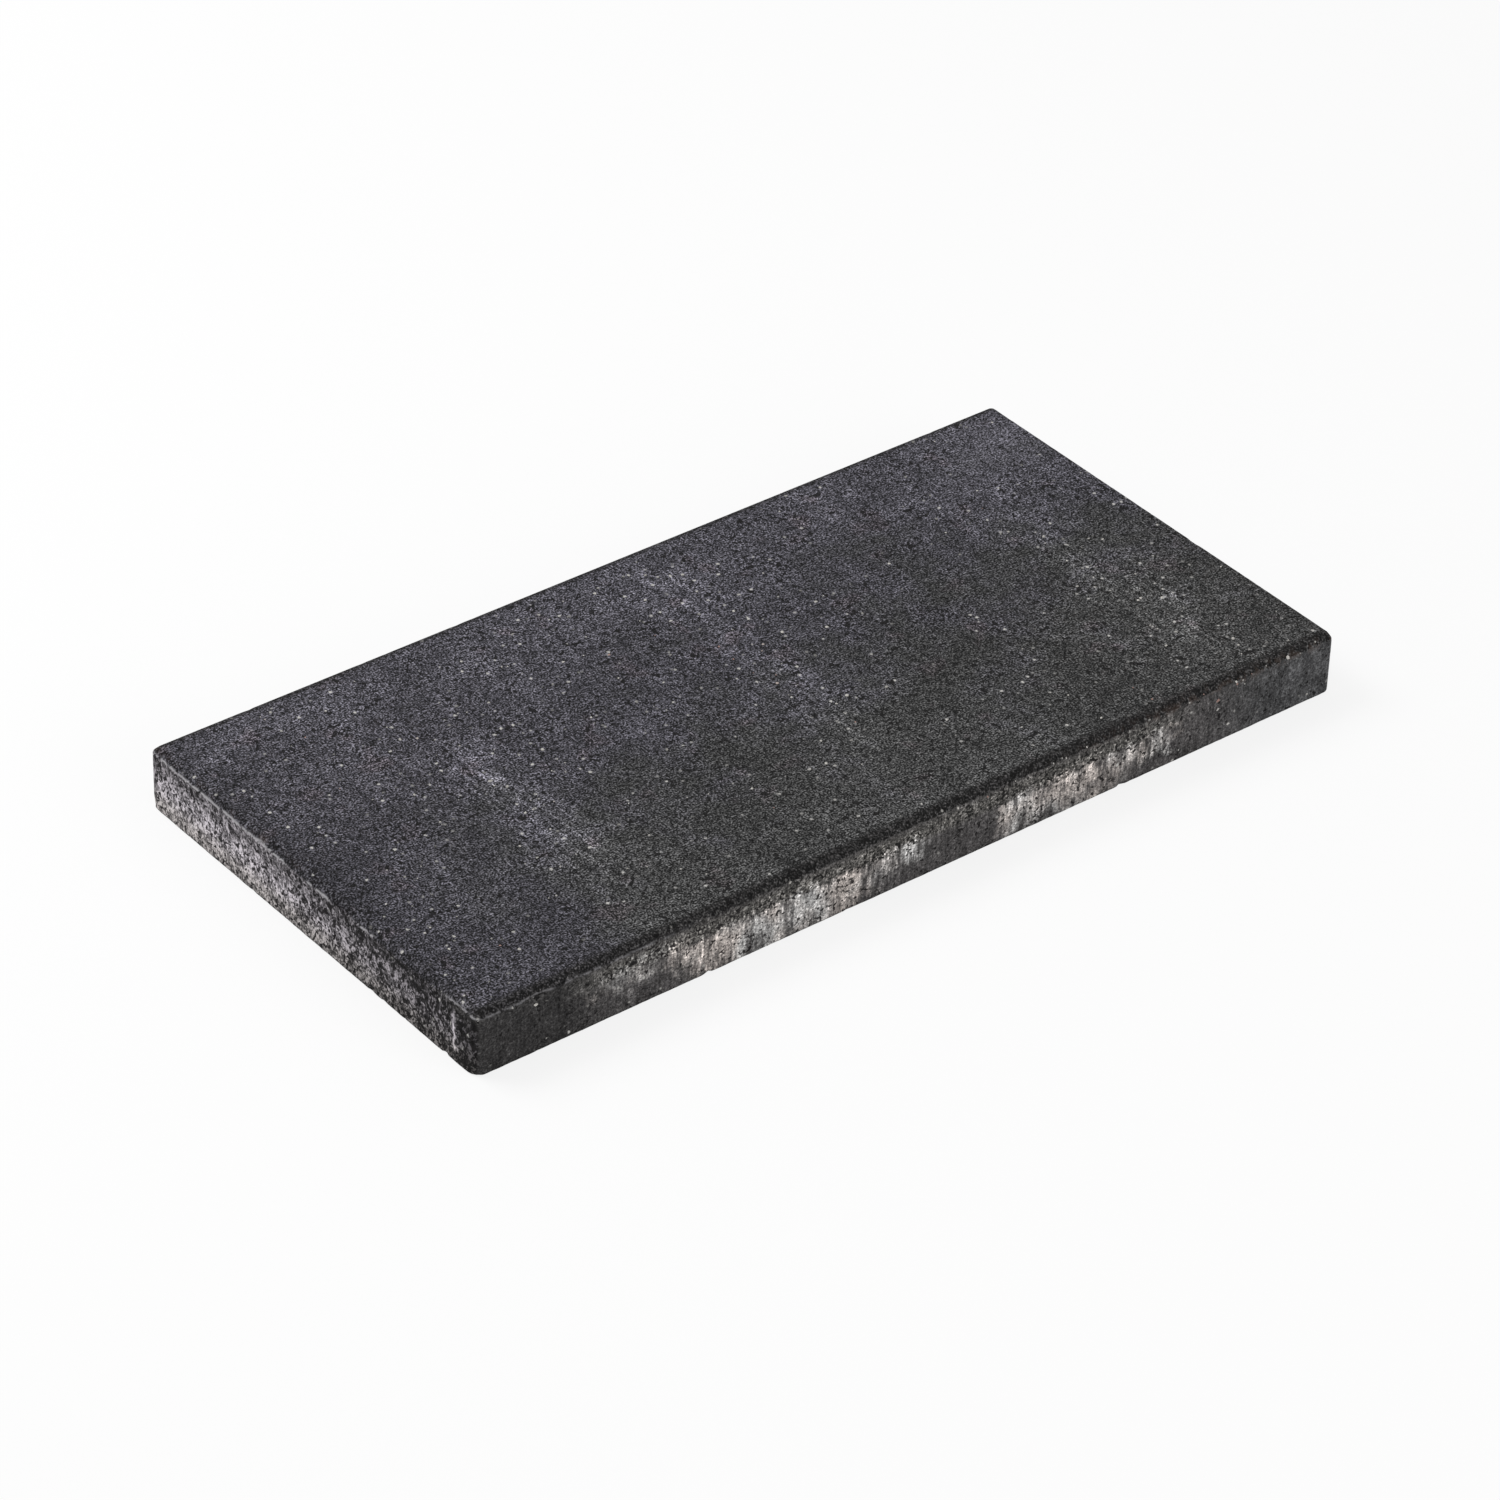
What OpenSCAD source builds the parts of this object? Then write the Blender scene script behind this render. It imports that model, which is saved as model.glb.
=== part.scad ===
// Concrete paving slab, pressed as one piece.
// Millimetres. The origin is the centre of the bed face, +X runs along the length and +Z is up.

/* [Slab] */
// Length of the slab, along X
slab_length = 600; // [200:10:1000]
// Width of the slab, along Y
slab_width = 300; // [100:10:600]
// Thickness from the bed face to the wearing face
slab_thickness = 40; // [30:1:100]

/* [Edges] */
// Width of the chamfer round the wearing face, measured across the slab
chamfer_width = 4; // [1:0.5:12]
// Height of the chamfer round the wearing face, measured down the side
chamfer_height = 4; // [1:0.5:12]
// Radius of the four upright corners in plan
corner_radius = 4; // [1:0.5:20]

/* [Hidden] */
// Each corner in plan: its side along X, its side along Y and its turn from the first quadrant
CORNERS = [[1, 1, 0], [-1, 1, 90], [-1, -1, 180], [1, -1, 270]];
// Overshoot of a cutting shape past the face that it cuts
cut_margin = 1;
// Facets of a full circle in the preview
$fn = 64;

// What the mould's corner radius takes off a square corner, drawn from the arc's centre
module corner_waste() {
    difference() {
        square(corner_radius + cut_margin);
        circle(corner_radius);
    }
}

// Upright stock of the slab's plan, with its four corners rounded
module rounded_plan() {
    arc_x = slab_length / 2 - corner_radius;
    arc_y = slab_width / 2 - corner_radius;
    linear_extrude(slab_thickness)
        difference() {
            square([slab_length, slab_width], center = true);
            for (corner = CORNERS)
                translate([corner[0] * arc_x, corner[1] * arc_y])
                    rotate(corner[2])
                        corner_waste();
        }
}

// Section across one direction: a rectangle with both upper corners chamfered
module chamfered_section(span) {
    shoulder = slab_thickness - chamfer_height;
    polygon([
        [-span / 2, 0],
        [span / 2, 0],
        [span / 2, shoulder],
        [span / 2 - chamfer_width, slab_thickness],
        [-span / 2 + chamfer_width, slab_thickness],
        [-span / 2, shoulder]
    ]);
}

// The two long chamfers: the section across the width, drawn out past both ends
module long_edges() {
    rotate([90, 0, 90])
        linear_extrude(slab_length + 2 * cut_margin, center = true)
            chamfered_section(slab_width);
}

// The two end chamfers: the section along the length, drawn out past both sides
module end_edges() {
    rotate([90, 0, 0])
        linear_extrude(slab_width + 2 * cut_margin, center = true)
            chamfered_section(slab_length);
}

// The slab: its plan and its two sections meet in mitred chamfers at the rounded corners
module paving_slab() {
    color([0.27, 0.27, 0.29])
        intersection() {
            rounded_plan();
            long_edges();
            end_edges();
        }
}

paving_slab();
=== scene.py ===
# %% [markdown]
# # A pressed concrete paving slab
# A paving slab is concrete pressed hard into a steel mould. The top comes out flat and sandy, its
# edges are chamfered, and the sides keep the drag marks of the mould as the slab is pushed out.
# The solid model holds the true size. This lesson adds what the eye sees on it: the worn edges, the
# pores, the loose grains and the mottled dark colour.

# %% Load the frame
import math

import bmesh
import bpy
import numpy as np
from mathutils import Matrix, Vector


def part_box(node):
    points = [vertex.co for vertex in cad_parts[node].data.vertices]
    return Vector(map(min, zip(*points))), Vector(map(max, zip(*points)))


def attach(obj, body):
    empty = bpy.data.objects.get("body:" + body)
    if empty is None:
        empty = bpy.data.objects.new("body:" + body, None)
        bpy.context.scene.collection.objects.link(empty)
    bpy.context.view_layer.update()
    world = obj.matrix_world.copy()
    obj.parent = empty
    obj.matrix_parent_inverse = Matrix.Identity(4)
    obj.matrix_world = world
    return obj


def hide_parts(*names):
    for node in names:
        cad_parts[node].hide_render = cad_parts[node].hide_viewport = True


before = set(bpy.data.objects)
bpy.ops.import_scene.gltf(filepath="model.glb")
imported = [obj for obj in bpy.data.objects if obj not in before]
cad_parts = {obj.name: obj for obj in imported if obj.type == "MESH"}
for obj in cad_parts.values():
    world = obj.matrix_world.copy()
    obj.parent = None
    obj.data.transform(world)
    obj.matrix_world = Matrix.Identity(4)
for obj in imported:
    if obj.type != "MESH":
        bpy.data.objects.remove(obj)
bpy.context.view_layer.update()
low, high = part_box("paving_slab")
half_length = high[0]
half_width = high[1]
thickness = high[2]
MM = 0.001
print("slab", [round((b - a) / MM, 1) for a, b in zip(low, high)], "mm")

# %% [markdown]
# ## Camera
# The slab was seen from its front left corner through a long lens, so its edges stay almost
# parallel. The camera stands on a sphere round the slab's base and has a slight roll. It is moved a
# few millimetres across the view to frame the slab as it was framed.

# %% Camera at the viewing angle
camera_azimuth = math.radians(-39.49)
camera_elevation = math.radians(35.2)
camera_roll = math.radians(1.99)
camera_distance = 3.391
camera_lens_mm = 146.3
slide_right = -0.7 * MM
slide_down = 2.08 * MM


def camera_axes(azimuth, elevation, roll):
    """Right, up and backward directions of a camera that looks at the origin."""
    flat = math.cos(elevation)
    back = Vector((math.sin(azimuth) * flat, -math.cos(azimuth) * flat, math.sin(elevation)))
    right = (-back).cross(Vector((0, 0, 1))).normalized()
    up = right.cross(-back)
    turned_right = right * math.cos(roll) + up * math.sin(roll)
    turned_up = up * math.cos(roll) - right * math.sin(roll)
    return turned_right, turned_up, back


right, up, back = camera_axes(camera_azimuth, camera_elevation, camera_roll)
camera_data = bpy.data.cameras.new("camera")
camera_data.sensor_width = 36
camera_data.lens = camera_lens_mm
camera = bpy.data.objects.new("camera", camera_data)
camera_place = back * camera_distance + right * slide_right - up * slide_down
camera.matrix_world = Matrix.Translation(camera_place) @ Matrix((right, up, back)).transposed().to_4x4()
bpy.context.scene.collection.objects.link(camera)
bpy.context.scene.camera = camera
bpy.context.scene.view_settings.view_transform = "Standard"
print("camera at", [round(v, 3) for v in camera_place])

# %% [markdown]
# ## Node expressions
# Both the relief and the colour are sums of noise and soft masks. Wiring those by hand hides the
# idea, so a small class wraps a socket and lets Python's operators add the Math nodes. The same class
# serves a shader tree and a geometry tree, because the two share these node types.

# %% A socket that takes part in expressions


class Field:
    """A value in a node tree, for use in Python expressions."""

    def __init__(self, tree, socket):
        self.tree = tree
        self.socket = socket

    def node(self, kind, settings=None, output=0, **sockets):
        """Adds any node: its settings first, then the values or links of its sockets."""
        added = self.tree.nodes.new(kind)
        for name, value in (settings or {}).items():
            setattr(added, name, value)
        for name, value in sockets.items():
            plug(added, name, value)
        return Field(self.tree, added.outputs[output])

    def math(self, operation, *others):
        added = self.tree.nodes.new("ShaderNodeMath")
        added.operation = operation
        for place, value in enumerate((self, *others)):
            plug(added, place, value)
        return Field(self.tree, added.outputs[0])

    def __add__(self, other):
        return self.math("ADD", other)

    def __radd__(self, other):
        return self.math("ADD", other)

    def __sub__(self, other):
        return self.math("SUBTRACT", other)

    def __rsub__(self, other):
        return (self * -1).math("ADD", other)

    def __mul__(self, other):
        return self.math("MULTIPLY", other)

    def __rmul__(self, other):
        return self.math("MULTIPLY", other)

    def __truediv__(self, other):
        return self.math("DIVIDE", other)

    def __abs__(self):
        return self.math("ABSOLUTE")


def plug(node, name, value):
    """Sets one input of a node, found by its place, identifier or name, to a value or a link."""
    if isinstance(name, int):
        socket = node.inputs[name]
    else:
        named = [s for s in node.inputs if s.identifier == name]
        socket = named[0] if named else node.inputs[name]
    if isinstance(value, Field):
        node.id_data.links.new(value.socket, socket)
    else:
        socket.default_value = value


# %% Masks and noise shared by relief and colour


def smooth(value, start, end):
    """0 before start and 1 after end, with a soft step between; start may be the larger."""
    return value.node(
        "ShaderNodeMapRange",
        {"interpolation_type": "SMOOTHSTEP"},
        Value=value,
        **{"From Min": start, "From Max": end},
    )


def bell(value, centre, spread):
    """1 at the centre, falling off softly over the spread to both sides."""
    away = (value - centre) / spread
    return (away * away * -1).math("EXPONENT")


def plateau(value, start, end, edge):
    """1 between start and end, with soft edges of the given width."""
    return smooth(value, start - edge, start + edge) * smooth(value, end + edge, end - edge)


def stretched(place, size, seed):
    """Places in mm divided by a pattern's size along X, Y and Z, and moved on by its seed."""
    scale = [1 / s for s in size]
    shift = [seed * 7.31, seed * 3.77, seed * 5.19]
    return place.node("ShaderNodeVectorMath", {"operation": "MULTIPLY_ADD"}, **{
        "Vector": place, "Vector_001": scale, "Vector_002": shift})


def noise(place, size, seed, detail=2.0, rough=0.5):
    """Soft noise whose lumps are about as large as size, in mm along X, Y and Z."""
    return place.node(
        "ShaderNodeTexNoise",
        Vector=stretched(place, size, seed),
        Scale=1.0,
        Detail=detail,
        Roughness=rough,
    )


def cells(place, size, seed):
    """A random cell pattern: the distance to the nearest cell's middle, and the cell's own number."""
    pattern = place.node(
        "ShaderNodeTexVoronoi", Vector=stretched(place, (size, size, size), seed), Scale=1.0)
    tint = Field(place.tree, pattern.socket.node.outputs["Color"])
    return pattern, split(tint)[0]


def split(place):
    """The three parts of a vector or a colour."""
    parts = place.node("ShaderNodeSeparateXYZ", Vector=place)
    return [Field(place.tree, s) for s in parts.socket.node.outputs]


print("node expressions ready")

# %% [markdown]
# ## The slab's skin
# The visible skin follows the solid, with its upright corners worn a little rounder, and has enough
# points to carry pores and chipped edges. It is woven as rings that run round the slab: over the
# top's rim, down the chamfer and the side and under the base. A grid fills the top, and a coarser
# one fills the hidden base.

# %% Sizes of the skin
chamfer = 4 * MM
worn_radius = 5.5 * MM
soft_radius = 3 * MM
shoulder = thickness - chamfer
rim = 14 * MM
corner_zone = 8 * MM
corner_steps = 9
mesh_step = 2 * MM
base_skip = 4
fold_softness = 1.0 * MM


def stations(half):
    """Places along one side from corner to corner, closer together next to both corners."""
    straight = 2 * (half - corner_zone)
    count = base_skip * round(straight / mesh_step / base_skip) + (-2 * corner_steps) % base_skip
    near = np.linspace(0, corner_zone, corner_steps + 1)[:-1]
    middle = np.linspace(-half + corner_zone, half - corner_zone, count + 1)
    return np.concatenate([-half + near, middle, (half - near)[::-1]])


along = stations(half_length)
across = stations(half_width)
print("stations along and across:", len(along), len(across))

# %% One ring round the slab


def ring(inset, height):
    """Points round the slab, a given distance inside its plan and at one height."""
    reach_x = half_length - inset
    reach_y = half_width - inset
    xs = along * reach_x / half_length
    ys = across * reach_y / half_width
    front = [(x, -reach_y) for x in xs[:-1]]
    right_end = [(reach_x, y) for y in ys[:-1]]
    rear = [(x, reach_y) for x in xs[:0:-1]]
    left_end = [(-reach_x, y) for y in ys[:0:-1]]
    points = np.array(front + right_end + rear + left_end)
    radius = max(worn_radius - inset, soft_radius * (1 - inset / rim), 0)
    centre = np.array([reach_x - radius, reach_y - radius])
    past = np.abs(points) - centre
    in_corner = (past > 0).all(axis=1)
    scale = radius / np.maximum(np.linalg.norm(past, axis=1), 1e-9)
    rounded = np.sign(points) * (centre + past * scale[:, None])
    points[in_corner] = rounded[in_corner]
    return np.column_stack([points, np.full(len(points), height)])


def top_height(inset):
    """Height of the top and chamfer: a straight slope that folds softly into the flat."""
    slope = chamfer - inset
    drop = (slope + math.hypot(slope, fold_softness)) / 2
    return thickness - drop + fold_softness ** 2 / (4 * rim)


# %% All rings, from the rim of the top to the base
rim_insets = [i * MM for i in (14, 12, 10.2, 8.6, 7.2, 6, 5, 4.2, 3.4, 2.6, 1.8, 1.0, 0.4)]
side_rows = 20
base_insets = [i * MM for i in (0.8, 3, 7, 11)]
profile = [(inset, min(top_height(inset), thickness)) for inset in rim_insets]
profile += [(0.0, shoulder - 0.3 * MM - (shoulder - 0.3 * MM) * i / side_rows) for i in range(side_rows + 1)]
profile += [(inset, 0.0) for inset in base_insets]
rings = [ring(inset, height) for inset, height in profile]
ring_size = len(rings[0])
print(len(rings), "rings of", ring_size, "points")

# %% Join rings and grids into one closed mesh


def grid_index(columns, rows, first_ring):
    """Numbers of a grid's points, with its outer edge taken from a ring that is already there."""
    numbers = np.full((rows, columns), -1)
    edge = [(0, c) for c in range(columns - 1)]
    edge += [(r, columns - 1) for r in range(rows - 1)]
    edge += [(rows - 1, c) for c in range(columns - 1, 0, -1)]
    edge += [(r, 0) for r in range(rows - 1, 0, -1)]
    for number, (r, c) in zip(first_ring, edge):
        numbers[r, c] = number
    return numbers


def fill_grid(points, first_ring, xs, ys, height):
    """Adds the inside points of a flat grid and gives back the numbers of all its points."""
    numbers = grid_index(len(xs), len(ys), first_ring)
    inside = np.argwhere(numbers < 0)
    start = sum(len(block) for block in points)
    numbers[numbers < 0] = start + np.arange(len(inside))
    places = np.column_stack([xs[inside[:, 1]], ys[inside[:, 0]], np.full(len(inside), height)])
    points.append(places)
    return numbers


def grid_faces(numbers):
    """Quads of a grid, seen from the side that its numbers run anticlockwise on."""
    corners = numbers[:-1, :-1], numbers[:-1, 1:], numbers[1:, 1:], numbers[1:, :-1]
    return np.stack([c.ravel() for c in corners], axis=1)


points = list(rings)
ring_start = [i * ring_size for i in range(len(rings))]
here = np.arange(ring_size)
following = (here + 1) % ring_size
quads = [
    np.stack([a + here, b + here, b + following, a + following], axis=1)
    for a, b in zip(ring_start, ring_start[1:])
]
inner_x = along * (half_length - rim) / half_length
inner_y = across * (half_width - rim) / half_width
top_numbers = fill_grid(points, here, inner_x, inner_y, profile[0][1])
quads.append(grid_faces(top_numbers))
base_rim = base_insets[-1] + 4 * MM
base_ring = ring(base_rim, 0.0)[::base_skip]
base_start = sum(len(block) for block in points)
points.append(base_ring)
base_x = along[::base_skip] * (half_length - base_rim) / half_length
base_y = across[::base_skip] * (half_width - base_rim) / half_width
base_numbers = fill_grid(points, base_start + np.arange(len(base_ring)), base_x, base_y, 0.0)
quads.append(grid_faces(base_numbers)[:, ::-1])
seams = []
last = ring_start[-1]
for piece in range(len(base_ring)):
    fine = [last + (piece * base_skip + i) % ring_size for i in range(base_skip + 1)]
    coarse = [base_start + (piece + 1) % len(base_ring), base_start + piece]
    seams.append(fine[::-1] + coarse[::-1])
faces = np.concatenate(quads).tolist() + seams
skin_mesh = bpy.data.meshes.new("slab_skin")
skin_mesh.from_pydata(np.concatenate(points).tolist(), [], faces)
skin_mesh.validate()
probe = bmesh.new()
probe.from_mesh(skin_mesh)
open_edges = sum(not e.is_manifold for e in probe.edges)
print(len(faces), "faces, open edges", open_edges, "volume", round(probe.calc_volume() / MM ** 3), "mm3")
probe.free()

# %% [markdown]
# ## Relief by Geometry Nodes
# Pressing leaves low waves and pores in the top. Pushing the slab out of the mould drags streaks down
# its sides and crumbles the sharp upper edge. Each of these follows a rule, so a node tree pushes the
# skin's points inwards by a depth built from noise. It never pushes outwards, so the slab keeps its
# true size.

# %% Relief tree
relief = bpy.data.node_groups.new("pressed_relief", "GeometryNodeTree")
relief.interface.new_socket("Geometry", in_out="INPUT", socket_type="NodeSocketGeometry")
relief_inputs = {
    "Wave depth": 0.25,
    "Pore depth": 0.7,
    "Drag depth": 0.45,
    "Crumble depth": 0.9,
    "Chip depth": 2.0,
}
for name in relief_inputs:
    relief.interface.new_socket(name, in_out="INPUT", socket_type="NodeSocketFloat")
relief.interface.new_socket("Material", in_out="INPUT", socket_type="NodeSocketMaterial")
relief.interface.new_socket("Geometry", in_out="OUTPUT", socket_type="NodeSocketGeometry")
group_in = relief.nodes.new("NodeGroupInput")
inlet = {s.name: Field(relief, s) for s in group_in.outputs if s.name}
position = Field(relief, relief.nodes.new("GeometryNodeInputPosition").outputs[0])
normal = Field(relief, relief.nodes.new("GeometryNodeInputNormal").outputs[0])
scaling = {"operation": "SCALE"}
place = position.node("ShaderNodeVectorMath", scaling, Vector=position, Scale=1 / MM)
x, y, z = split(place)
edge_x = half_length / MM - abs(x)
edge_y = half_width / MM - abs(y)
inset = edge_x.math("MINIMUM", edge_y)
over_top = smooth(z, 38, 39.5) * smooth(inset, 3, 7)
on_side = smooth(inset, 2.0, 0.4) * smooth(z, shoulder / MM + 0.5, shoulder / MM - 1)
under = smooth(z, 0.6, 0.1)
arris_gap = (inset * inset + (z - shoulder / MM) * (z - shoulder / MM)).math("SQRT")
arris = bell(arris_gap, 0, 2.4)

# %% Depths of the relief
waves = over_top * (0.7 * noise(place, (60, 60, 60), 1) + 0.5 * noise(place, (6, 6, 6), 2, 3))
pore_gap, pore_pick = cells(place, 11, 3)
pores = over_top * smooth(pore_gap, 0.26, 0.05) * smooth(pore_pick, 0.5, 0.75)
hole_gap, hole_pick = cells(place, 8, 4)
holes = on_side * smooth(hole_gap, 0.34, 0.1) * smooth(hole_pick, 0.5, 0.7)
drag = on_side * noise(place, (5, 5, 70), 5, 3)
crumble = arris * smooth(noise(place, (4, 4, 4), 6, 3), 0.42, 0.75)
chips = bell(arris_gap, 0, 3.2) * smooth(noise(place, (17, 17, 17), 7, 2), 0.6, 0.72)
corner_chip = bell(x, -300, 9) * bell(y, -136, 16) * bell(z, 35, 6)
notch = bell(x, -260, 5) * bell(y, -150, 4) * bell(z, 35.5, 3.5)
base_relief = under * noise(place, (12, 12, 12), 8, 3)
foot_side = (abs(y) - half_width / MM) * (abs(y) - half_width / MM)
foot_gap = ((x + half_length / MM) * (x + half_length / MM) + foot_side + z * z).math("SQRT")
foot = bell(foot_gap, 0, 4.5)
depth = inlet["Wave depth"] * waves + inlet["Pore depth"] * (pores + 1.3 * holes)
depth = depth + inlet["Drag depth"] * (drag + base_relief)
depth = depth + inlet["Crumble depth"] * (crumble + foot)
broken = (chips + 0.8 * corner_chip + 0.9 * notch).math("MINIMUM", 1.0)
depth = depth + inlet["Chip depth"] * broken
offset = normal.node("ShaderNodeVectorMath", scaling, Vector=normal, Scale=depth * -MM)

# %% Finish the relief tree
moved = inlet["Geometry"].node("GeometryNodeSetPosition", Geometry=inlet["Geometry"], Offset=offset)


def keep(geometry, name, value):
    """Stores a value on the points, for the material to read."""
    return geometry.node(
        "GeometryNodeStoreNamedAttribute",
        {"data_type": "FLOAT", "domain": "POINT"},
        Geometry=geometry,
        Name=name,
        Value=value,
    )


moved = keep(moved, "broken", (broken + 0.5 * crumble).math("MINIMUM", 1.0))
moved = keep(moved, "pore", (pores + holes).math("MINIMUM", 1.0))
moved = moved.node("GeometryNodeRealizeInstances", Geometry=moved)
moved = moved.node("GeometryNodeSetMaterial", Geometry=moved, Material=inlet["Material"])
group_out = relief.nodes.new("NodeGroupOutput")
relief.links.new(moved.socket, group_out.inputs[0])
print("relief tree has", len(relief.nodes), "nodes")

# %% [markdown]
# ## Concrete
# The colour is a dark cool grey that drifts towards lilac and green, with a sandy grain about a
# millimetre across. Pale lime was dragged down the sides as the mould let go. All of it is drawn from
# Object coordinates in millimetres, so each patch sits where it was seen on the slab.

# %% Colours as seen, turned into light values


def seen(red, green, blue):
    """A colour as a screen shows it, from 0 to 255, turned into linear light."""
    parts = [v / 255 for v in (red, green, blue)]
    linear = [v / 12.92 if v <= 0.04045 else ((v + 0.055) / 1.055) ** 2.4 for v in parts]
    return (*linear, 1.0)


def new_material(name):
    """A node material with its main shader, and the place on the object in mm."""
    material = bpy.data.materials.new(name)
    material.use_nodes = True
    tree = material.node_tree
    shader = tree.nodes["Principled BSDF"]
    where = Field(tree, tree.nodes.new("ShaderNodeTexCoord").outputs["Object"])
    where = where.node("ShaderNodeVectorMath", {"operation": "SCALE"}, Vector=where, Scale=1 / MM)
    return material, shader, where


def blend(factor, first, second):
    """Mixes two colours."""
    return factor.node(
        "ShaderNodeMix",
        {"data_type": "RGBA"},
        output=2,
        Factor_Float=factor,
        A_Color=first,
        B_Color=second,
    )


def shade(colour, value):
    """Multiplies a colour by a value."""
    vector = colour if isinstance(colour, Field) else colour[:3]
    return value.node("ShaderNodeVectorMath", {"operation": "SCALE"}, Vector=vector, Scale=value)


# %% Where on the slab a point is
concrete, concrete_shader, place = new_material("pressed_concrete")
x, y, z = split(place)
end_inset = half_length / MM - abs(x)
long_inset = half_width / MM - abs(y)
inset = end_inset.math("MINIMUM", long_inset)
shoulder_mm = shoulder / MM
side = smooth(z, shoulder_mm + 0.7, shoulder_mm - 0.4)
on_end = smooth(abs(x), half_length / MM - 3, half_length / MM - 1)
long_slope = (1 - side) * smooth(long_inset, 9.5, 4.0)
under = smooth(z, 0.9, 0.5) * smooth(inset, 0.4, 1.4)
run = x * (1 - 2 * smooth(y, -20, 20))
turn = y * (1 - 2 * smooth(x, -20, 20))
broken = place.node("ShaderNodeAttribute", {"attribute_name": "broken"}, output=2)
pore = place.node("ShaderNodeAttribute", {"attribute_name": "pore"}, output=2)

# %% Grain shared by all faces
noise_gain = 11


def lumps(size, seed, detail=1.0, stretch=(1, 1, 1)):
    """Noise round zero with a spread of about one, in lumps of a size in mm."""
    return (noise(place, [size * s for s in stretch], seed, detail, 0.5) - 0.5) * noise_gain


def tone(colour, stops):
    """A colour made lighter or darker by a number of stops; one stop doubles it."""
    return shade(colour, (stops * math.log(2)).math("EXPONENT"))


tiny = lumps(1.0, 11, 0)
sand = lumps(2.1, 12)
pebble = lumps(4.6, 13)
cloud = lumps(13, 14, 2)
haze = lumps(48, 15, 2)
warm = lumps(26, 17, 2)

# %% Top: bands, pale spots and streaks left by the press, and a painted sheen towards the back
streak = lumps(2.4, 18, 2, (1, 18, 6))
left_band = bell(x, -167, 19) * plateau(y, -95, 50, 25)
middle_band = bell(x, 20, 15) * plateau(y, -95, 130, 20)
right_band = bell(x, 234, 22) * plateau(y, -120, 65, 20)
light_bands = 0.50 * left_band + 0.36 * middle_band + 0.40 * right_band
light_bands = light_bands * (1 + 0.5 * streak + 0.35 * cloud)
pale_spots = [
    (-215, 50, 45, 0.14), (-168, 12, 9, 0.85), (-160, -58, 12, 0.45), (-208, 66, 7, 0.40),
    (20, 95, 11, 0.30), (226, -48, 9, 0.40), (250, -66, 8, 0.30), (140, -114, 8, 0.35),
    (-44, -118, 9, 0.30), (-78, 8, 10, 0.30), (-278, 118, 7, 0.35),
]
spots = 0.0
for spot_x, spot_y, reach, strength in pale_spots:
    spots = strength * bell(x, spot_x, reach) * bell(y, spot_y, reach * 1.3) + spots
dark_bands = (0.18 * bell(x, -82, 34) + 0.22 * bell(x, 130, 38)) * smooth(y, 30, -50)
rim_fall = 0.22 * smooth(x, -262, -292) + 0.20 * smooth(x, 262, 295) * smooth(y, 20, -60)
# Painted sheen: the top is made lighter towards its back edge, where the light grazes it; the same term also
# lightens the front rim a little.
top_painted_sheen = 0.34 * smooth(y, 30, 105) + 0.10 * smooth(y, 105, 144) + 0.12 * smooth(y, -108, -135)
corner_smear = 0.85 * bell(y, 113 + 3 * sand, 22) * smooth(x, 190, 270)
top_stops = light_bands + spots * (0.8 + 0.35 * sand) - dark_bands - rim_fall + top_painted_sheen + corner_smear
top_grain = (0.98 * tiny + 0.48 * sand + 0.20 * pebble) * (1 - 0.35 * corner_smear)
top_stops = top_stops + 0.16 + top_grain - 0.10 * top_grain * top_grain
top_stops = top_stops + 0.17 * cloud + 0.12 * haze + 0.10 * streak

# %% Top: the grey drifts from lilac to green
lilac_back = smooth(y - 0.12 * x + 28 * haze + 16 * cloud, -110, 70)
lilac = lilac_back.math("MAXIMUM", smooth(x + 16 * haze, -160, -250))
top_tint = blend(lilac, seen(57, 57, 57), seen(57, 56, 61))
top_tint = blend(0.30 * smooth(warm + 0.4 * cloud, 1.2, 2.4), top_tint, seen(60, 52, 55))
top_colour = tone(top_tint, top_stops)

# %% Long sides: pale lime dragged down the mould's wall
lime_patches = [
    (-194, 30, 14, 31, 0.52),
    (-153, 11, 1, 25, 0.85),
    (-118, 28, -4, 25, 1.15),
    (-70, 20, -4, 26, 1.22),
    (-42, 12, 2, 26, 0.65),
    (-18, 17, 12, 27, 0.70),
    (77, 24, 0, 26, 0.78),
    (108, 14, -4, 26, 1.05),
    (135, 14, 2, 26, 0.50),
    (163, 16, 10, 27, 0.90),
]
wander_x = run + 2.6 * lumps(8, 21, 2)
wander_z = z + 2.0 * lumps(6, 22, 2)
lime = 0.0
for middle, reach, bottom, top, strength in lime_patches:
    along_patch = smooth(abs(wander_x - middle), reach + 9, reach - 6)
    patch = strength * along_patch * plateau(wander_z, bottom, top, 4)
    lime = patch.math("MAXIMUM", lime)
smear = lumps(5.0, 24, 1, (1, 1, 3))
dragged = lumps(1.4, 23, 1, (1, 1, 10))
lime = lime * (0.72 + 0.28 * smooth(z, 4, 18))
lime_mask = smooth(lime * (0.84 + 0.18 * smear + 0.08 * dragged), 0.05, 1.08)
long_base = blend(smooth(run, -245, -205), seen(52, 51, 51), seen(75, 73, 73))
long_base = blend(smooth(run, 190, 260), long_base, seen(72, 72, 73))
strip = smooth(z, 22, 27) * smooth(z, 38, 31) * plateau(run, -225, 178, 25)
long_base = blend(0.55 * strip, long_base, seen(98, 96, 92))
lime_tint = blend(smooth(0.6 * warm + 0.5 * haze, -1.2, 1.2), seen(168, 167, 166), seen(174, 166, 161))
long_colour = blend(lime_mask, long_base, lime_tint)
rough_stops = 0.50 * tiny + 0.40 * sand + 0.24 * pebble
long_rough = 0.55 + 0.45 * strip
bright_streaks = 0.0
for streak_x, streak_z in [(-98, 4), (-7, 13), (83, 8), (175, 11), (-152, 2)]:
    runs_down = bell(run + 0.3 * pebble, streak_x, 1.2) * plateau(z, streak_z, 29, 4)
    bright_streaks = runs_down + bright_streaks
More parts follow.
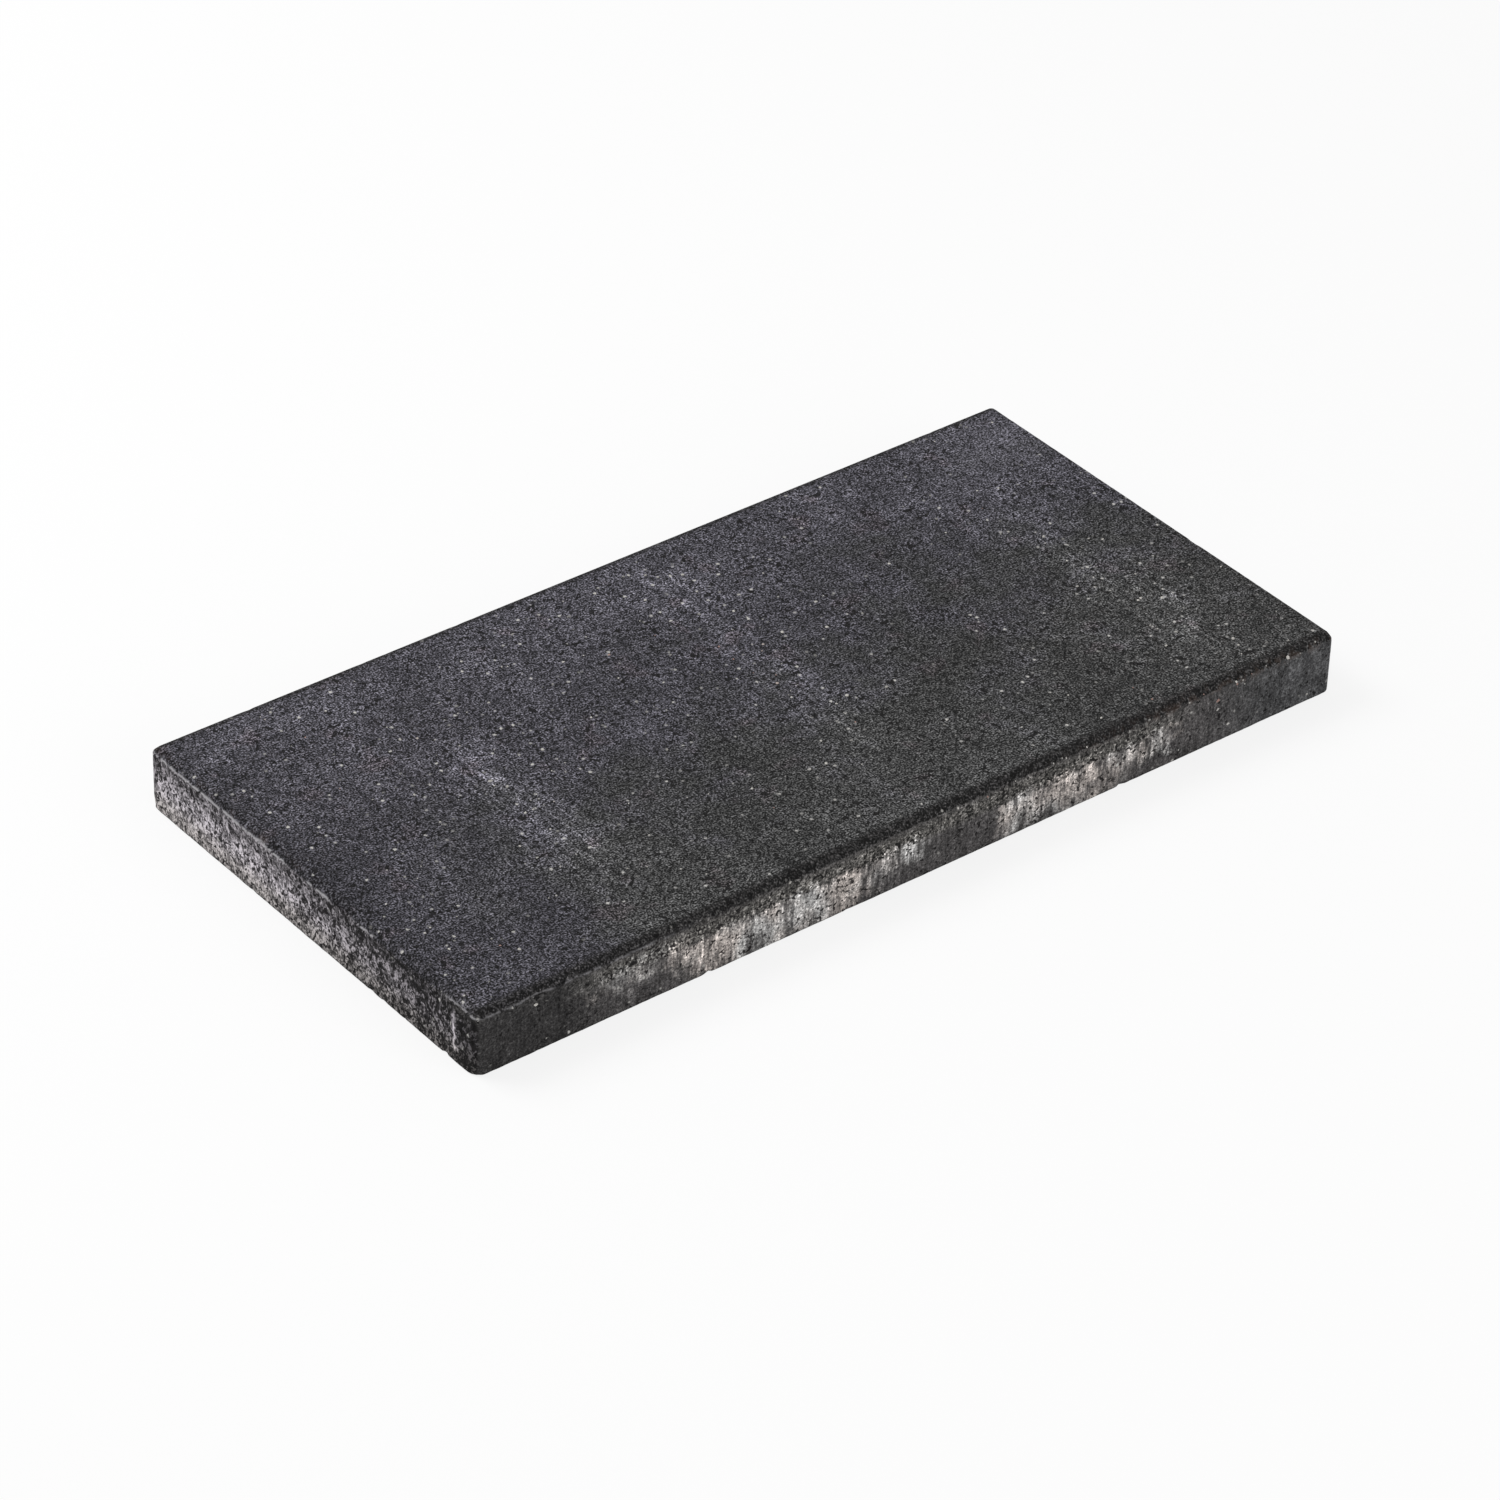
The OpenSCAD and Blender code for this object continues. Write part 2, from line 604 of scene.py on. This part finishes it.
long_stops = long_rough * rough_stops + 0.17 * dragged + 0.12 * smear + 0.9 * bright_streaks
long_stops = long_stops + 0.20 * lime_mask * bell(z, 22, 5)
long_colour = tone(long_colour, long_stops)

# %% Ends: paler towards the back, with a spotted rim
shortfall = ((50 - turn).math("MAXIMUM", 0.0) / 200).math("POWER", 1.5)
flecks = lumps(1.5, 25, 1, (1, 1, 1.8))
patches = lumps(10, 26, 2)
end_rough = 0.40 * tiny + 0.50 * flecks + 0.40 * pebble + 0.42 * patches
end_rough = end_rough.math("MINIMUM", 1.05)
rim_spots = smooth(wander_z, 29, 33) * smooth(pebble + 0.8 * sand, -0.3, 1.0)
rim_dark = 0.75 * smooth(wander_z, 20, 31) + 1.8 * rim_spots + 0.25 * smooth(z, 9, 2)
rim_dark = rim_dark + 1.0 * smooth(turn, -134, -143)
upright = bell(turn + 0.4 * pebble - 0.1 * z, -132.5, 1.5) * plateau(z, 6, 31, 3)
end_rough = end_rough * (1 + 0.7 * shortfall) * (1 - 0.8 * upright)
end_stops = end_rough - 2.35 * shortfall - rim_dark
end_tint = blend(smooth(z, 20, 4), seen(162, 157, 162), seen(154, 149, 148))
end_colour = tone(end_tint, end_stops + 3.0 * upright)
side_colour = blend(on_end, long_colour, end_colour)

# %% Chamfer painted shade, base and broken edges
colour = blend(side, top_colour, side_colour)
# The chamfers are painted darker than the top: painted shade where they face away from the key light, strong
# on the long sides and weak on the ends.
chamfer_painted_shade = tone(seen(36, 35, 35), 0.70 * tiny + 0.45 * sand)
end_slope = (1 - side) * smooth(end_inset, 8, 3)
colour = blend(0.35 * end_slope, colour, chamfer_painted_shade)
slope = long_slope * (1 - 0.8 * on_end)
colour = blend(0.92 * slope, colour, chamfer_painted_shade)
rusty = bell(z, shoulder_mm, 2.5) * smooth(run, 60, 200) * (1 - on_end) * smooth(pebble, -0.5, 1.0)
colour = blend(0.35 * rusty, colour, seen(76, 62, 54))
base_colour = tone(seen(86, 84, 83), rough_stops + 0.2 * cloud)
colour = blend(under, colour, base_colour)
colour = blend(0.35 * broken, colour, tone(seen(80, 78, 77), rough_stops))

# %% Pits, cracks and specks, with painted shade in the hollows and a painted highlight along the arris
pit_field = lumps(2.3, 31) + 0.3 * cloud
long_pits = (1 - on_end) * (0.85 * strip + 0.70 * lime_mask)
end_pits = on_end * (0.80 + 0.6 * shortfall)
pit = smooth(pit_field + side * (long_pits + end_pits), 1.75, 2.25)
end_holes = smooth(lumps(4.2, 34) + 0.55 * smooth(z, 12, 26) + 0.7 * shortfall, 1.75, 2.0)
pit = pit * (1 - upright) + end_holes * on_end * side * (1 - upright)
top_holes = smooth(lumps(3.4, 37) + 0.35 * cloud, 1.75, 2.05) * (1 - side)
pit = pit + top_holes
cracks = smooth(abs(lumps(5, 35, 1, (1.5, 1, 1))), 0.20, 0.06) * smooth(lumps(15, 36), 0.7, 1.2)
# Pits, pores and cracks are painted near black: painted shade in the hollows.
dark = (pit + 0.7 * pore + cracks).math("MINIMUM", 1.0)
colour = blend(0.92 * dark, colour, seen(18, 17, 17))
speck_gap, speck_pick = cells(place, 7, 33)
speck_share = smooth(speck_pick + 0.16 * haze + 0.14 * cloud + 0.7 * light_bands, 0.45, 1.05)
speck = smooth(speck_gap + 0.02 * tiny, 0.17, 0.09) * speck_share
colour = blend(speck * (1 - 0.6 * slope), colour, seen(190, 188, 184))
# Painted highlight: a thin, broken pale line along the top edge of the sides, where a small burr at the
# arris catches the light.
arris_runs = [(-150, -122), (-62, -46), (-22, 2), (20, 146)]
end_line = 0.0
for first, last in arris_runs:
    end_line = plateau(turn + 2 * sand, first, last, 2) + end_line
end_line = end_line * on_end * smooth(pebble, -1.6, -0.4)
long_line = 0.25 * (1 - on_end) * smooth(run, -150, -190) * smooth(pebble, -1.2, 0.0)
arris_painted_highlight = (0.75 * end_line + long_line) * bell(z, shoulder_mm + 0.25, 0.5)
colour = blend(arris_painted_highlight, colour, seen(180, 178, 181))

# %% Finish the concrete
concrete.node_tree.links.new(colour.socket, concrete_shader.inputs["Base Color"])
concrete_shader.inputs["Roughness"].default_value = 0.88
concrete_shader.inputs["Specular IOR Level"].default_value = 0.12
relief_height = 0.10 * tiny + 0.12 * sand + 0.08 * pebble - 0.6 * smooth(pit_field, 1.9, 2.6)
bump = place.node("ShaderNodeBump", Strength=0.6, Distance=0.5 * MM, Height=relief_height)
concrete.node_tree.links.new(bump.socket, concrete_shader.inputs["Normal"])
print("concrete has", len(concrete.node_tree.nodes), "nodes")

# %% [markdown]
# ## Apply the relief
# The tree's result becomes a plain mesh, because what is kept has no live modifiers.

# %% Evaluate the skin


def baked(source, tree, inputs, name):
    """Runs a geometry tree on an object and gives back its result as a new plain object."""
    modifier = source.modifiers.new(tree.name, "NODES")
    modifier.node_group = tree
    for item in tree.interface.items_tree:
        if item.in_out == "INPUT" and item.name in inputs:
            modifier[item.identifier] = inputs[item.name]
    bpy.context.view_layer.update()
    evaluated = source.evaluated_get(bpy.context.evaluated_depsgraph_get())
    mesh = bpy.data.meshes.new_from_object(evaluated)
    mesh.name = name
    source.modifiers.remove(modifier)
    result = bpy.data.objects.new(name, mesh)
    bpy.context.scene.collection.objects.link(result)
    return result


source = bpy.data.objects.new("skin_source", skin_mesh)
bpy.context.scene.collection.objects.link(source)
slab = baked(source, relief, {**relief_inputs, "Material": concrete}, "slab")
bpy.data.objects.remove(source)
slab.data.shade_smooth()
slab_triangles = sum(len(p.vertices) - 2 for p in slab.data.polygons)
print("slab triangles", slab_triangles)

# %% [markdown]
# ## Bare grains
# Here and there the press leaves a grain of crushed stone bare. The grains are scattered over the
# skin by a second tree: more of them along the pale bands and on the front arris. Each is a small
# lump of twenty faces, turned and stretched at random and sunk to below its middle. A few that stand
# out are listed one by one.

# %% Grain colours
grain_stone, grain_shader, grain_place = new_material("bare_grain")
grain_kind = grain_place.node("ShaderNodeAttribute", {"attribute_name": "kind"}, output=2)
stone_colour = blend(smooth(grain_kind, 0.0, 0.8), seen(108, 107, 105), seen(196, 193, 187))
stone_colour = blend(smooth(grain_kind, 0.90, 0.94), stone_colour, seen(154, 126, 118))
grain_stone.node_tree.links.new(stone_colour.socket, grain_shader.inputs["Base Color"])
grain_shader.inputs["Roughness"].default_value = 0.7
grain_shader.inputs["Specular IOR Level"].default_value = 0.2

# %% Grain tree
scatter = bpy.data.node_groups.new("bare_grains", "GeometryNodeTree")
scatter.interface.new_socket("Geometry", in_out="INPUT", socket_type="NodeSocketGeometry")
grain_inputs = {"Smallest": 0.5, "Largest": 1.45, "Grains per m2": 900.0, "Band grains per m2": 3500.0}
for name in grain_inputs:
    scatter.interface.new_socket(name, in_out="INPUT", socket_type="NodeSocketFloat")
scatter.interface.new_socket("Seed", in_out="INPUT", socket_type="NodeSocketInt")
scatter.interface.new_socket("Material", in_out="INPUT", socket_type="NodeSocketMaterial")
scatter.interface.new_socket("Geometry", in_out="OUTPUT", socket_type="NodeSocketGeometry")
group_in = scatter.nodes.new("NodeGroupInput")
inlet = {s.name: Field(scatter, s) for s in group_in.outputs if s.name}
position = Field(scatter, scatter.nodes.new("GeometryNodeInputPosition").outputs[0])
x, y, z = split(position.node("ShaderNodeVectorMath", {"operation": "SCALE"}, Vector=position, Scale=1 / MM))
inset = (half_length / MM - abs(x)).math("MINIMUM", half_width / MM - abs(y))
on_top = smooth(z, 38.6, 39.3) * smooth(inset, 5, 8)
bands = bell(x, -172, 20) * plateau(y, -85, 40, 15) + 0.7 * bell(x, 20, 14) * plateau(y, -60, 130, 15)
bands = bands + bell(x, 234, 20) * plateau(y, -110, 60, 15)
arris_gap = (half_width / MM + y) * (half_width / MM + y) + (z - shoulder / MM) * (z - shoulder / MM)
arris_grains_per_m2 = 22000
front_arris = bell(arris_gap.math("SQRT"), 0, 1.6) * smooth(x, -40, 60)
density = on_top * (inlet["Grains per m2"] + inlet["Band grains per m2"] * bands)
density = density + arris_grains_per_m2 * front_arris

# %% Scatter, turn and stretch the grains


def random_value(tree, low, high, seed):
    """A number drawn for each point, with a fixed seed."""
    start = Field(tree, None)
    return start.node("FunctionNodeRandomValue", {"data_type": "FLOAT"}, output=1,
                      Min_001=low, Max_001=high, Seed=seed)


dots = inlet["Geometry"].node(
    "GeometryNodeDistributePointsOnFaces", Mesh=inlet["Geometry"], Density=density, Seed=inlet["Seed"])
outward = Field(scatter, dots.socket.node.outputs["Normal"])
chance = random_value(scatter, 0.0, 1.0, 41)
size = (inlet["Smallest"] + (inlet["Largest"] - inlet["Smallest"]) * chance * chance) * MM
sink = outward.node("ShaderNodeVectorMath", {"operation": "SCALE"}, Vector=outward, Scale=size * -0.45)
dots = dots.node("GeometryNodeSetPosition", Geometry=dots, Offset=sink)
full_turn = 6.28
turned = dots.node("ShaderNodeCombineXYZ", X=random_value(scatter, 0, full_turn, 42),
                   Y=random_value(scatter, 0, full_turn, 43), Z=random_value(scatter, 0, full_turn, 44))
drawn_out = dots.node("ShaderNodeCombineXYZ", X=size * random_value(scatter, 0.8, 1.4, 45),
                      Y=size * random_value(scatter, 0.7, 1.1, 46), Z=size)
lump = dots.node("GeometryNodeMeshIcoSphere", Radius=1.0, Subdivisions=1)
placed = dots.node(
    "GeometryNodeInstanceOnPoints", Points=dots, Instance=lump, Rotation=turned, Scale=drawn_out)
placed = placed.node("GeometryNodeStoreNamedAttribute", {"data_type": "FLOAT", "domain": "INSTANCE"},
                     Geometry=placed, Name="kind", Value=random_value(scatter, 0.0, 1.0, 47))
placed = placed.node("GeometryNodeRealizeInstances", Geometry=placed)
placed = placed.node("GeometryNodeSetMaterial", Geometry=placed, Material=inlet["Material"])
group_out = scatter.nodes.new("NodeGroupOutput")
scatter.links.new(placed.socket, group_out.inputs[0])
grains = baked(slab, scatter, {**grain_inputs, "Seed": 5, "Material": grain_stone}, "grains")

# %% Grains that stand out, listed one by one
grain_list = [
    (-261, -148.8, 30.5, 1.8, 0.70), (31, -148.2, 28, 2.7, 0.97), (211, -148.2, 28, 2.7, 0.97),
    (182, -148.9, 35.5, 1.3, 0.50), (190, -148.9, 35.2, 1.2, 0.45), (230, -148.9, 35.4, 1.4, 0.50),
    (256, -148.9, 35.5, 1.3, 0.50), (286, -147.3, 37.4, 1.3, 0.45), (291, -147.8, 36.6, 1.4, 0.50),
    (243, -149.1, 8, 1.3, 0.40), (281, -149.1, 5, 1.3, 0.45), (-93, -148.9, 35.3, 1.2, 0.45),
    (-170, 14, 39.3, 1.8, 0.45), (-166, 4, 39.3, 1.6, 0.50), (20, 124, 39.3, 1.4, 0.50),
    (60, -43, 39.3, 1.7, 0.40),
]
grown = bmesh.new()
grown.from_mesh(grains.data)
kind_layer = grown.verts.layers.float.get("kind")
for number, (grain_x, grain_y, grain_z, radius, kind) in enumerate(grain_list):
    spot = Matrix.Translation(Vector((grain_x, grain_y, grain_z)) * MM)
    tilt = Matrix.Rotation(number * 1.3, 4, "X") @ Matrix.Rotation(number * 2.1, 4, "Z")
    shape = Matrix.Diagonal((1.1, 0.75, 0.6, 1.0))
    made = bmesh.ops.create_icosphere(grown, subdivisions=1, radius=radius * MM, matrix=spot @ tilt @ shape)
    for vertex in made["verts"]:
        vertex[kind_layer] = kind
for face in grown.faces:
    face.material_index = 0
grown.to_mesh(grains.data)
grown.free()
grains.data.materials.clear()
grains.data.materials.append(grain_stone)
print("grains:", len(grains.data.polygons) // 20, "of 20 faces each")

# %% Slab and grains take the solid's place
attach(slab, "root")
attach(grains, "root")
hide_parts("paving_slab")

# %% [markdown]
# ## Floor and light
# The slab lies on a plain white floor in soft light. The main light is a large panel behind and to
# the left, which leaves the front chamfer dark, and the chamfers' colour adds painted shade. A weaker
# panel in front, the sky and the floor fill the sides.

# %% Floor
floor_mesh = bpy.data.meshes.new("floor")
floor_reach = 12.0
floor_drop = -0.2 * MM
floor_corners = [(-1, -1), (1, -1), (1, 1), (-1, 1)]
floor_points = [(a * floor_reach, b * floor_reach, floor_drop) for a, b in floor_corners]
floor_mesh.from_pydata(floor_points, [], [(0, 1, 2, 3)])
floor = bpy.data.objects.new("floor", floor_mesh)
bpy.context.scene.collection.objects.link(floor)
floor_material = bpy.data.materials.new("white_floor")
floor_material.use_nodes = True
tree = floor_material.node_tree
tree.nodes.clear()
rays = Field(tree, tree.nodes.new("ShaderNodeLightPath").outputs["Is Camera Ray"])
glow_share = 0.82
matt = rays.node("ShaderNodeBsdfDiffuse", Color=(0.9, 0.9, 0.9, 1))
glow = rays.node("ShaderNodeEmission", Color=(1, 1, 1, 1), Strength=1.0)
paper = rays.node("ShaderNodeMixShader", Fac=rays * glow_share, **{"Shader": matt, "Shader_001": glow})
outlet = tree.nodes.new("ShaderNodeOutputMaterial")
tree.links.new(paper.socket, outlet.inputs["Surface"])
floor_mesh.materials.append(floor_material)

# %% Sky and lamps
world = bpy.data.worlds.new("studio")
bpy.context.scene.world = world
world.use_nodes = True
tree = world.node_tree
sky = tree.nodes["Background"]
path = tree.nodes.new("ShaderNodeLightPath")
camera_ray = Field(tree, path.outputs["Is Camera Ray"])
mirror_ray = Field(tree, path.outputs["Is Glossy Ray"])
through_ray = Field(tree, path.outputs["Is Transmission Ray"])
sky_level = 0.5
seen_ray = (camera_ray + mirror_ray + through_ray).math("MINIMUM", 1.0)
sky.inputs["Color"].default_value = (1, 1, 1, 1)
tree.links.new((sky_level + (1 - sky_level) * seen_ray).socket, sky.inputs["Strength"])


def panel(name, place, size, power):
    """A square soft light that faces the slab."""
    data = bpy.data.lights.new(name, "AREA")
    data.size = size
    data.energy = power
    lamp = bpy.data.objects.new(name, data)
    lamp.location = place
    lamp.rotation_euler = (-Vector(place)).to_track_quat("-Z", "Y").to_euler()
    bpy.context.scene.collection.objects.link(lamp)


panel("key", (-1.1, 1.6, 2.2), 1.6, 50)
panel("fill", (0.4, -2.4, 0.9), 1.6, 20)
